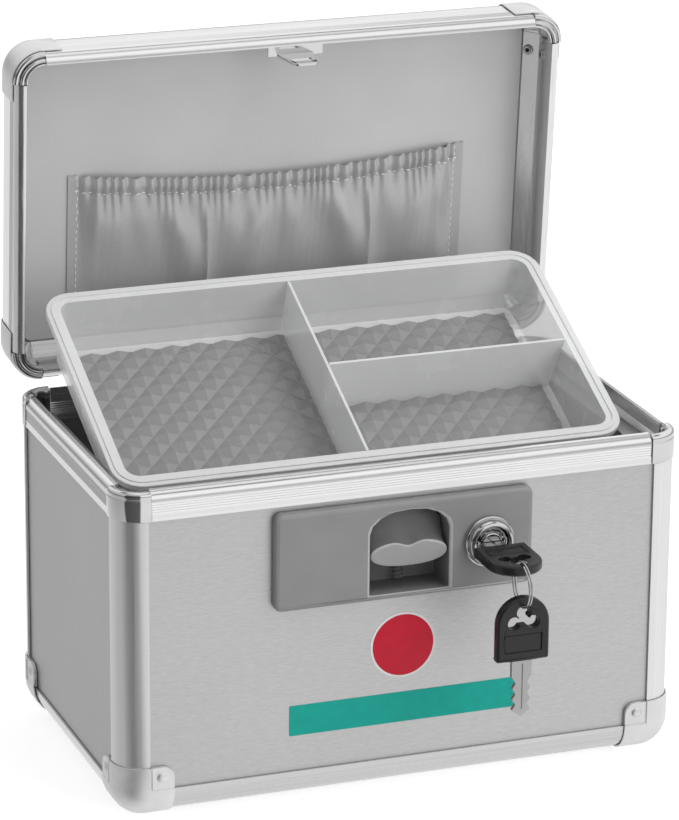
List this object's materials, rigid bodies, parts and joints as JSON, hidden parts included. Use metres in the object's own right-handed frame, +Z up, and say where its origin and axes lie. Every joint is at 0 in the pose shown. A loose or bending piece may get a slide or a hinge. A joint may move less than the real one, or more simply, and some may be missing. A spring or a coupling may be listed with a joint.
{
  "type": "medication lock box",
  "caption": "Aluminium-edged medication lock box, lid raised, with a lift-out divided tray, cloth lid pocket, recessed finger latch, key lock and carry handle.",
  "frame": {"origin": "centre of the bottom panel's underside", "axes": "+X to the box's right seen from the front, +Y from the latch side to the hinge side, +Z up"},
  "size_m": [0.3042, 0.281, 0.3564],
  "materials": {
    "brushed_panel": "brushed",
    "extrusion": "satin",
    "chrome": "polished",
    "cast_cap": "satin",
    "latch_grey": "satin",
    "lining": "matt",
    "pocket_cloth": "matt",
    "tray_plastic": "satin",
    "steel": "plated",
    "black_plastic": "satin"
  },
  "bodies": {
    "case": {"front_panel": "brushed_panel", "right_panel": "brushed_panel", "back_panel": "brushed_panel", "left_panel": "brushed_panel", "bottom_panel": "brushed_panel", "bottom_rail_front": "extrusion", "bottom_rail_right": "extrusion", "bottom_rail_back": "extrusion", "bottom_rail_left": "extrusion", "rim_rail_front": "extrusion", "rim_rail_right": "extrusion", "rim_rail_back": "extrusion", "rim_rail_left": "extrusion", "corner_post_front_left": "extrusion", "corner_post_front_right": "extrusion", "corner_post_back_right": "extrusion", "corner_post_back_left": "extrusion", "rim_corner_front_left": "chrome", "rim_corner_front_right": "chrome", "rim_corner_back_right": "chrome", "rim_corner_back_left": "chrome", "foot_cap_front_left": "cast_cap", "foot_cap_front_right": "cast_cap", "foot_cap_back_right": "cast_cap", "foot_cap_back_left": "cast_cap", "side_board_left": "lining", "side_board_right": "lining", "latch_plate": "latch_grey", "latch_spring": "steel", "lock_ring": "chrome", "lock_nut": "steel", "hinge_body_leaf_left": "steel", "hinge_body_leaf_right": "steel"},
    "lid": {"lid_rail_front": "extrusion", "lid_rail_right": "extrusion", "lid_rail_back": "extrusion", "lid_rail_left": "extrusion", "lid_corner_front_left": "chrome", "lid_corner_front_right": "chrome", "lid_corner_back_right": "chrome", "lid_corner_back_left": "chrome", "lid_panel": "brushed_panel", "lid_lining": "lining", "lid_pocket": "pocket_cloth", "strike_hook": "chrome", "hinge_lid_leaf_left": "steel", "hinge_lid_leaf_right": "steel", "handle_bracket_left": "chrome", "handle_bracket_right": "chrome"},
    "handle": {"handle_bail": "black_plastic"},
    "tray": {"tray_shell": "tray_plastic", "long_divider": "tray_plastic", "cross_divider": "tray_plastic"},
    "slide": {"latch_slide": "latch_grey"},
    "lock": {"lock_cylinder": "chrome"},
    "key": {"lock_key_head": "black_plastic", "lock_key_blade": "steel"},
    "ring": {"key_ring": "steel"},
    "spare_key": {"spare_key_head": "black_plastic", "spare_key_blade": "steel"}
  },
  "joints": [
    {"name": "lid_hinge", "type": "hinge", "parent": "case", "child": "lid", "pos_m": [0, 0.091, 0.1715], "axis": [1, 0, 0], "range_deg": [0, 85.3]},
    {"name": "tray_tilt", "type": "hinge", "parent": "case", "child": "tray", "pos_m": [0, -0.05987, 0.21285], "axis": [1, 0, 0], "range_deg": [-24.6, 0]},
    {"name": "latch_press", "type": "slide", "parent": "case", "child": "slide", "axis": [0, 0, -1], "range_m": [0, 0.007], "stiffness_N_per_m": 250, "springref_m": -0.002, "deforming": ["latch_spring"]},
    {"name": "lock_turn", "type": "hinge", "parent": "case", "child": "lock", "pos_m": [0.0425, -0.089, 0.127], "axis": [0, 1, 0], "range_deg": [0, 90]},
    {"name": "key_pull", "type": "slide", "parent": "lock", "child": "key", "axis": [0, -1, 0], "range_m": [0, 0.032]},
    {"name": "ring_swing", "type": "hinge", "parent": "key", "child": "ring", "pos_m": [0.0425, -0.13845, 0.127], "axis": [1, 0, 0], "range_deg": [-8, 8]},
    {"name": "spare_key_swing", "type": "hinge", "parent": "ring", "child": "spare_key", "pos_m": [0.0425, -0.13845, 0.10794], "axis": [0, 1, 0], "range_deg": [-8, 8]},
    {"name": "handle_swing", "type": "hinge", "parent": "lid", "child": "handle", "pos_m": [0, 0.12171, 0.26533], "axis": [1, 0, 0], "range_deg": [0, 90]}
  ],
  "couplings": [
    {"joint": "tray_tilt", "follows": "lid_hinge", "ratio": -0.28839}
  ]
}
